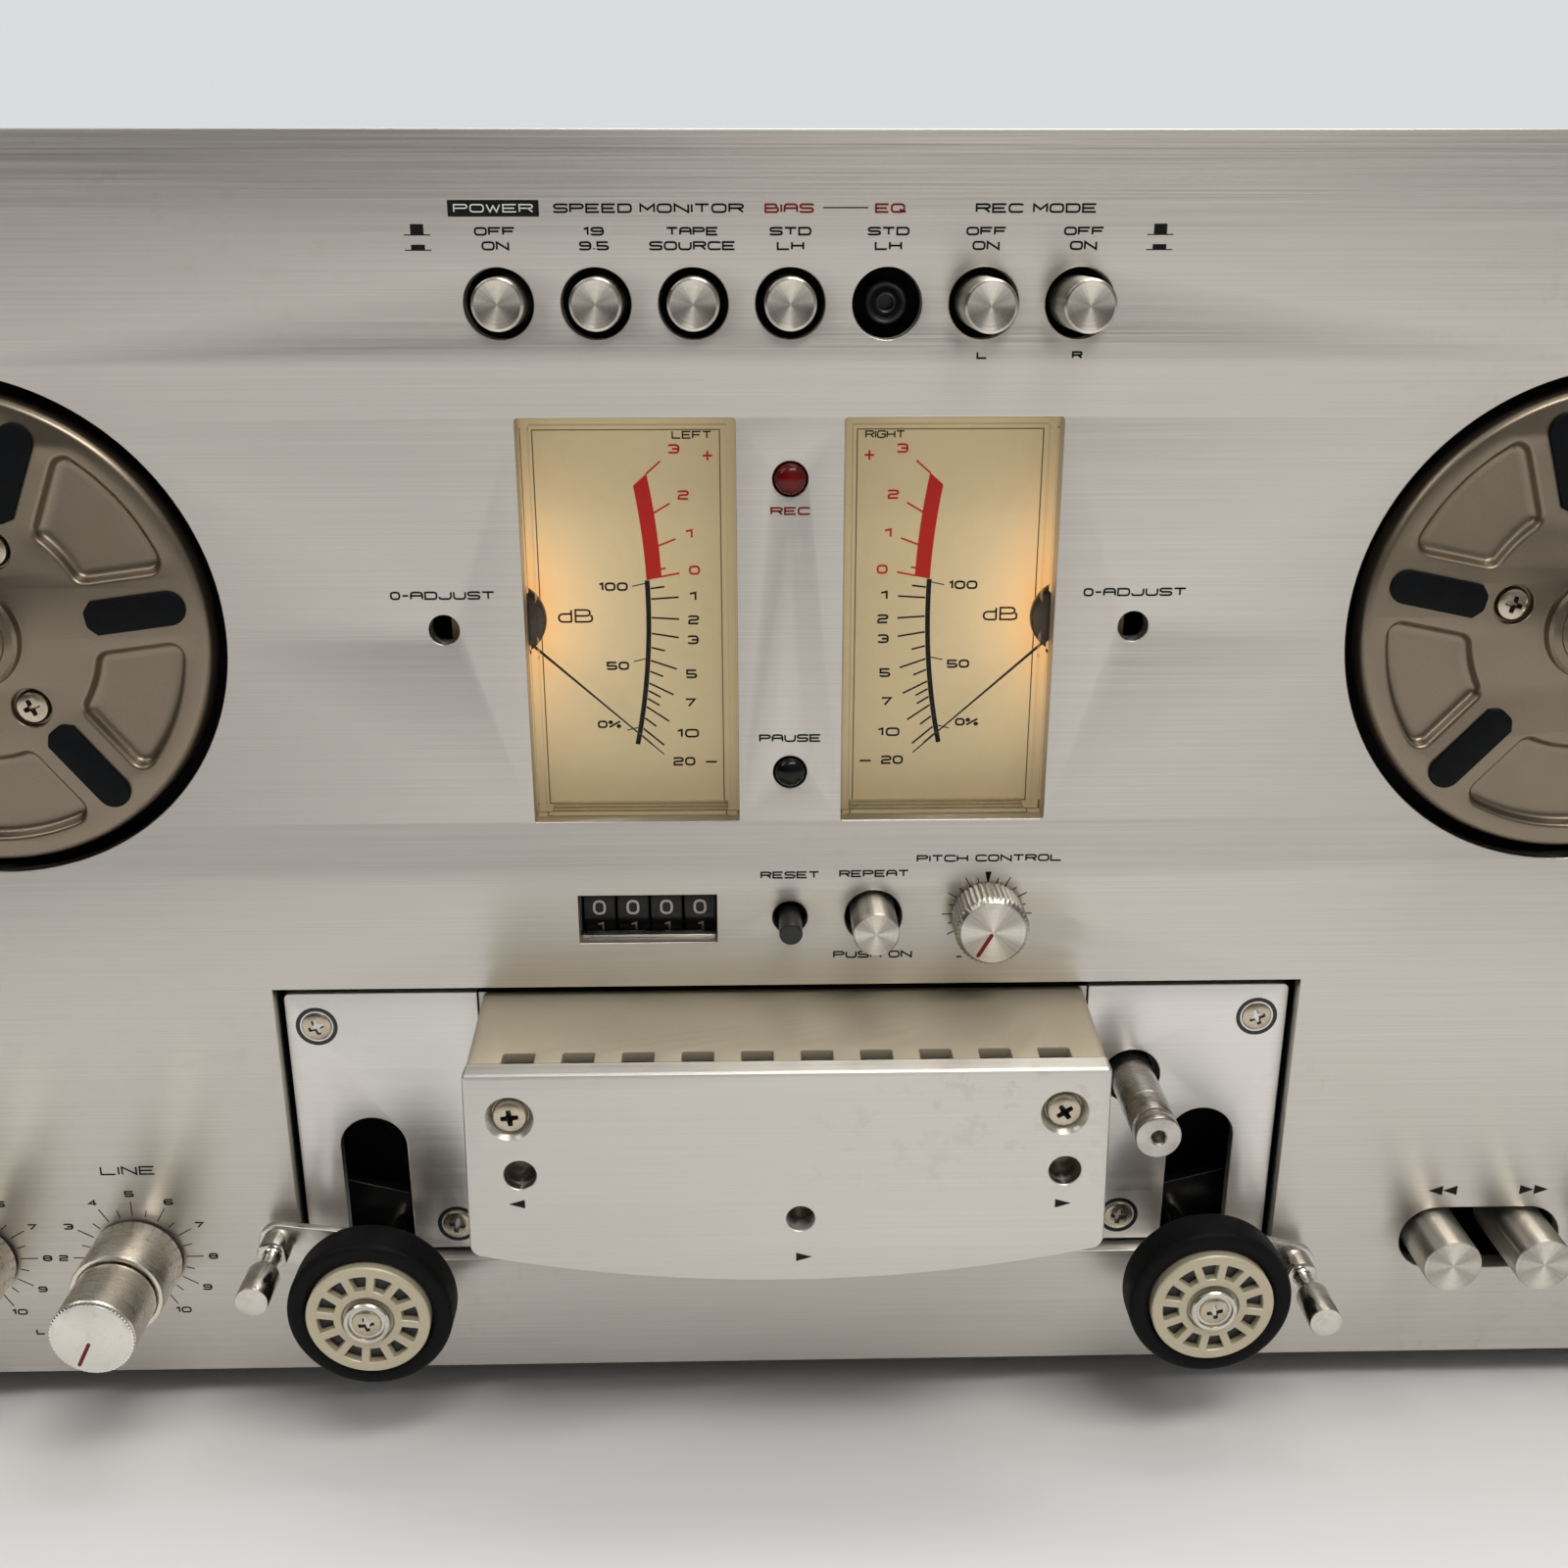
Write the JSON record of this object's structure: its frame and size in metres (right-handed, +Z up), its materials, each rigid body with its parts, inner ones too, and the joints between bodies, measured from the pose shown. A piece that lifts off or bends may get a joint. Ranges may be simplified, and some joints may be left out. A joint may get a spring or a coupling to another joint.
{
  "type": "reel-to-reel tape deck",
  "caption": "Reel-to-reel tape deck: brushed front panel with reel tables, level meters, head block, capstan, pinch rollers, buttons and knobs on a vented sheet case.",
  "frame": {"origin": "centre of the footprint's bounding box, on the plane under the feet", "axes": "+X to the right as seen from the front, +Y from the front panel towards the rear, +Z up"},
  "size_m": [0.48, 0.3584, 0.23],
  "materials": {
    "brushed_aluminium": "brushed, satin",
    "bronze_anodised": "satin anodised",
    "champagne_paint": "satin metallic paint",
    "polished_chrome": "polished, worn",
    "plain_steel": "plain",
    "dark_sheet": "fine textured paint",
    "black_plastic": "satin",
    "black_rubber": "matt",
    "cream_scale": "matt",
    "clear_window": "clear",
    "red_lens": "clear red"
  },
  "bodies": {
    "deck": {"front_panel": "brushed_aluminium", "mechanism_plate": "plain_steel", "bottom_pan": "dark_sheet", "top_cover": "dark_sheet", "left_deck_plate": "brushed_aluminium", "right_deck_plate": "brushed_aluminium", "head_housing": "champagne_paint", "head_front_plate": "brushed_aluminium", "head_assembly": "plain_steel", "left_meter_case": "cream_scale", "right_meter_case": "cream_scale", "left_meter_window": "clear_window", "right_meter_window": "clear_window", "lamp_strip": "red_lens", "counter_frame": "plain_steel", "left_reel_motor": "plain_steel", "right_reel_motor": "plain_steel", "capstan_motor": "plain_steel", "jack_block": "black_plastic", "power_transformer": "plain_steel"},
    "left_reel_table": {"left_reel_table": "bronze_anodised"},
    "left_reel_lock_cap": {"left_reel_lock_cap": "black_plastic"},
    "left_pinch_arm": {"left_pinch_arm": "plain_steel"},
    "left_roller": {"left_pinch_tyre": "black_rubber", "left_pinch_hub": "champagne_paint"},
    "left_tension_arm": {"left_tension_arm": "polished_chrome"},
    "left_meter_needle": {"left_meter_needle": "black_plastic"},
    "right_reel_table": {"right_reel_table": "bronze_anodised"},
    "right_reel_lock_cap": {"right_reel_lock_cap": "black_plastic"},
    "right_pinch_arm": {"right_pinch_arm": "plain_steel"},
    "right_roller": {"right_pinch_tyre": "black_rubber", "right_pinch_hub": "champagne_paint"},
    "right_tension_arm": {"right_tension_arm": "polished_chrome"},
    "right_meter_needle": {"right_meter_needle": "black_plastic"},
    "capstan": {"capstan_shaft": "polished_chrome"},
    "power_button": {"power_button": "brushed_aluminium"},
    "speed_button": {"speed_button": "brushed_aluminium"},
    "monitor_button": {"monitor_button": "brushed_aluminium"},
    "bias_button": {"bias_button": "brushed_aluminium"},
    "equaliser_button": {"equaliser_button": "black_plastic"},
    "record_left_button": {"record_left_button": "brushed_aluminium"},
    "record_right_button": {"record_right_button": "brushed_aluminium"},
    "rewind_button": {"rewind_button": "brushed_aluminium"},
    "fast_forward_button": {"fast_forward_button": "brushed_aluminium"},
    "reverse_play_button": {"reverse_play_button": "brushed_aluminium"},
    "stop_button": {"stop_button": "brushed_aluminium"},
    "forward_play_button": {"forward_play_button": "brushed_aluminium"},
    "pause_button": {"pause_button": "brushed_aluminium"},
    "record_button": {"record_button": "brushed_aluminium"},
    "reset_button": {"reset_button": "black_plastic"},
    "repeat_button": {"repeat_button": "brushed_aluminium"},
    "pitch_knob": {"pitch_knob": "brushed_aluminium"},
    "line_rear_knob": {"line_rear_knob": "brushed_aluminium"},
    "line_front_knob": {"line_front_knob": "brushed_aluminium"},
    "mic_rear_knob": {"mic_rear_knob": "brushed_aluminium"},
    "mic_front_knob": {"mic_front_knob": "brushed_aluminium"},
    "counter_drum_thousands": {"counter_drum_thousands": "black_plastic"},
    "counter_drum_hundreds": {"counter_drum_hundreds": "black_plastic"},
    "counter_drum_tens": {"counter_drum_tens": "black_plastic"},
    "counter_drum_units": {"counter_drum_units": "black_plastic"}
  },
  "joints": [
    {"name": "left_reel_turn", "type": "hinge", "parent": "deck", "child": "left_reel_table", "pos_m": [-0.1341, -0.15115, 0.1534], "axis": [0, -1, 0], "continuous": true},
    {"name": "left_reel_lock_twist", "type": "hinge", "parent": "left_reel_table", "child": "left_reel_lock_cap", "pos_m": [-0.1341, -0.17115, 0.1534], "axis": [0, -1, 0], "range_deg": [0, 60]},
    {"name": "left_pinch_arm_swing", "type": "hinge", "parent": "deck", "child": "left_pinch_arm", "pos_m": [-0.1038, -0.13815, 0.042], "axis": [0, -1, 0], "range_deg": [0, 41.8], "stiffness_Nm_per_rad": 0.05, "springref_deg": -20.05},
    {"name": "left_roller_spin", "type": "hinge", "parent": "left_pinch_arm", "child": "left_roller", "pos_m": [-0.0748, -0.16615, 0.0342], "axis": [0, -1, 0], "continuous": true},
    {"name": "left_tension_arm_swing", "type": "hinge", "parent": "left_pinch_arm", "child": "left_tension_arm", "pos_m": [-0.0748, -0.15515, 0.0342], "axis": [0, 1, 0], "range_deg": [0, 30], "stiffness_Nm_per_rad": 0.01, "springref_deg": -28.65},
    {"name": "left_needle_swing", "type": "hinge", "parent": "deck", "child": "left_meter_needle", "pos_m": [-0.05, -0.14215, 0.1543], "axis": [0, -1, 0], "range_deg": [0, 85], "stiffness_Nm_per_rad": 0.0001, "springref_deg": -17.19},
    {"name": "right_reel_turn", "type": "hinge", "parent": "deck", "child": "right_reel_table", "pos_m": [0.1341, -0.15115, 0.1534], "axis": [0, -1, 0], "continuous": true},
    {"name": "right_reel_lock_twist", "type": "hinge", "parent": "right_reel_table", "child": "right_reel_lock_cap", "pos_m": [0.1341, -0.17115, 0.1534], "axis": [0, -1, 0], "range_deg": [0, 60]},
    {"name": "right_pinch_arm_swing", "type": "hinge", "parent": "deck", "child": "right_pinch_arm", "pos_m": [0.1038, -0.13815, 0.042], "axis": [0, 1, 0], "range_deg": [0, 41.8], "stiffness_Nm_per_rad": 0.05, "springref_deg": -20.05},
    {"name": "right_roller_spin", "type": "hinge", "parent": "right_pinch_arm", "child": "right_roller", "pos_m": [0.0748, -0.16615, 0.0342], "axis": [0, -1, 0], "continuous": true},
    {"name": "right_tension_arm_swing", "type": "hinge", "parent": "right_pinch_arm", "child": "right_tension_arm", "pos_m": [0.0748, -0.15515, 0.0342], "axis": [0, -1, 0], "range_deg": [0, 30], "stiffness_Nm_per_rad": 0.01, "springref_deg": -28.65},
    {"name": "right_needle_swing", "type": "hinge", "parent": "deck", "child": "right_meter_needle", "pos_m": [0.05, -0.14215, 0.1543], "axis": [0, 1, 0], "range_deg": [0, 85], "stiffness_Nm_per_rad": 0.0001, "springref_deg": -17.19},
    {"name": "capstan_spin", "type": "hinge", "parent": "deck", "child": "capstan", "pos_m": [0.0629, -0.15115, 0.0682], "axis": [0, -1, 0], "continuous": true},
    {"name": "power_push", "type": "slide", "parent": "deck", "child": "power_button", "axis": [0, -1, 0], "range_m": [0, 0.0067]},
    {"name": "speed_push", "type": "slide", "parent": "deck", "child": "speed_button", "axis": [0, -1, 0], "range_m": [0, 0.0067]},
    {"name": "monitor_push", "type": "slide", "parent": "deck", "child": "monitor_button", "axis": [0, -1, 0], "range_m": [0, 0.0067]},
    {"name": "bias_push", "type": "slide", "parent": "deck", "child": "bias_button", "axis": [0, -1, 0], "range_m": [0, 0.0067]},
    {"name": "equaliser_push", "type": "slide", "parent": "deck", "child": "equaliser_button", "axis": [0, -1, 0], "range_m": [0, 0.0067]},
    {"name": "record_left_push", "type": "slide", "parent": "deck", "child": "record_left_button", "axis": [0, 1, 0], "range_m": [0, 0.0067]},
    {"name": "record_right_push", "type": "slide", "parent": "deck", "child": "record_right_button", "axis": [0, 1, 0], "range_m": [0, 0.0067]},
    {"name": "rewind_press", "type": "slide", "parent": "deck", "child": "rewind_button", "axis": [0, 1, 0], "range_m": [0, 0.004], "stiffness_N_per_m": 300, "springref_m": -0.002},
    {"name": "fast_forward_press", "type": "slide", "parent": "deck", "child": "fast_forward_button", "axis": [0, 1, 0], "range_m": [0, 0.004], "stiffness_N_per_m": 300, "springref_m": -0.002},
    {"name": "reverse_play_press", "type": "slide", "parent": "deck", "child": "reverse_play_button", "axis": [0, 1, 0], "range_m": [0, 0.004], "stiffness_N_per_m": 300, "springref_m": -0.002},
    {"name": "stop_press", "type": "slide", "parent": "deck", "child": "stop_button", "axis": [0, 1, 0], "range_m": [0, 0.004], "stiffness_N_per_m": 300, "springref_m": -0.002},
    {"name": "forward_play_press", "type": "slide", "parent": "deck", "child": "forward_play_button", "axis": [0, 1, 0], "range_m": [0, 0.004], "stiffness_N_per_m": 300, "springref_m": -0.002},
    {"name": "pause_press", "type": "slide", "parent": "deck", "child": "pause_button", "axis": [0, 1, 0], "range_m": [0, 0.004], "stiffness_N_per_m": 300, "springref_m": -0.002},
    {"name": "record_press", "type": "slide", "parent": "deck", "child": "record_button", "axis": [0, 1, 0], "range_m": [0, 0.004], "stiffness_N_per_m": 300, "springref_m": -0.002},
    {"name": "reset_press", "type": "slide", "parent": "deck", "child": "reset_button", "axis": [0, 1, 0], "range_m": [0, 0.004], "stiffness_N_per_m": 200, "springref_m": -0.002},
    {"name": "repeat_press", "type": "slide", "parent": "deck", "child": "repeat_button", "axis": [0, 1, 0], "range_m": [0, 0.004]},
    {"name": "pitch_turn", "type": "hinge", "parent": "deck", "child": "pitch_knob", "pos_m": [0.0345, -0.15115, 0.1021], "axis": [0, 1, 0], "range_deg": [-150, 150]},
    {"name": "line_rear_turn", "type": "hinge", "parent": "deck", "child": "line_rear_knob", "pos_m": [-0.1219, -0.15115, 0.03365], "axis": [0, 1, 0], "range_deg": [-150, 150]},
    {"name": "line_front_turn", "type": "hinge", "parent": "deck", "child": "line_front_knob", "pos_m": [-0.1219, -0.15115, 0.03365], "axis": [0, 1, 0], "range_deg": [-150, 150]},
    {"name": "mic_rear_turn", "type": "hinge", "parent": "deck", "child": "mic_rear_knob", "pos_m": [-0.1527, -0.15115, 0.03365], "axis": [0, 1, 0], "range_deg": [-150, 150]},
    {"name": "mic_front_turn", "type": "hinge", "parent": "deck", "child": "mic_front_knob", "pos_m": [-0.1527, -0.15115, 0.03365], "axis": [0, 1, 0], "range_deg": [-150, 150]},
    {"name": "counter_drum_thousands_turn", "type": "hinge", "parent": "deck", "child": "counter_drum_thousands", "pos_m": [-0.03372, -0.13845, 0.1016], "axis": [-1, 0, 0], "continuous": true},
    {"name": "counter_drum_hundreds_turn", "type": "hinge", "parent": "deck", "child": "counter_drum_hundreds", "pos_m": [-0.02778, -0.13845, 0.1016], "axis": [-1, 0, 0], "continuous": true},
    {"name": "counter_drum_tens_turn", "type": "hinge", "parent": "deck", "child": "counter_drum_tens", "pos_m": [-0.02183, -0.13845, 0.1016], "axis": [-1, 0, 0], "continuous": true},
    {"name": "counter_drum_units_turn", "type": "hinge", "parent": "deck", "child": "counter_drum_units", "pos_m": [-0.01588, -0.13845, 0.1016], "axis": [-1, 0, 0], "continuous": true}
  ],
  "couplings": [
    {"joint": "counter_drum_thousands_turn", "follows": "left_reel_turn", "ratio": 0.0001},
    {"joint": "counter_drum_hundreds_turn", "follows": "left_reel_turn", "ratio": 0.001},
    {"joint": "counter_drum_tens_turn", "follows": "left_reel_turn", "ratio": 0.01},
    {"joint": "counter_drum_units_turn", "follows": "left_reel_turn", "ratio": 0.1}
  ]
}
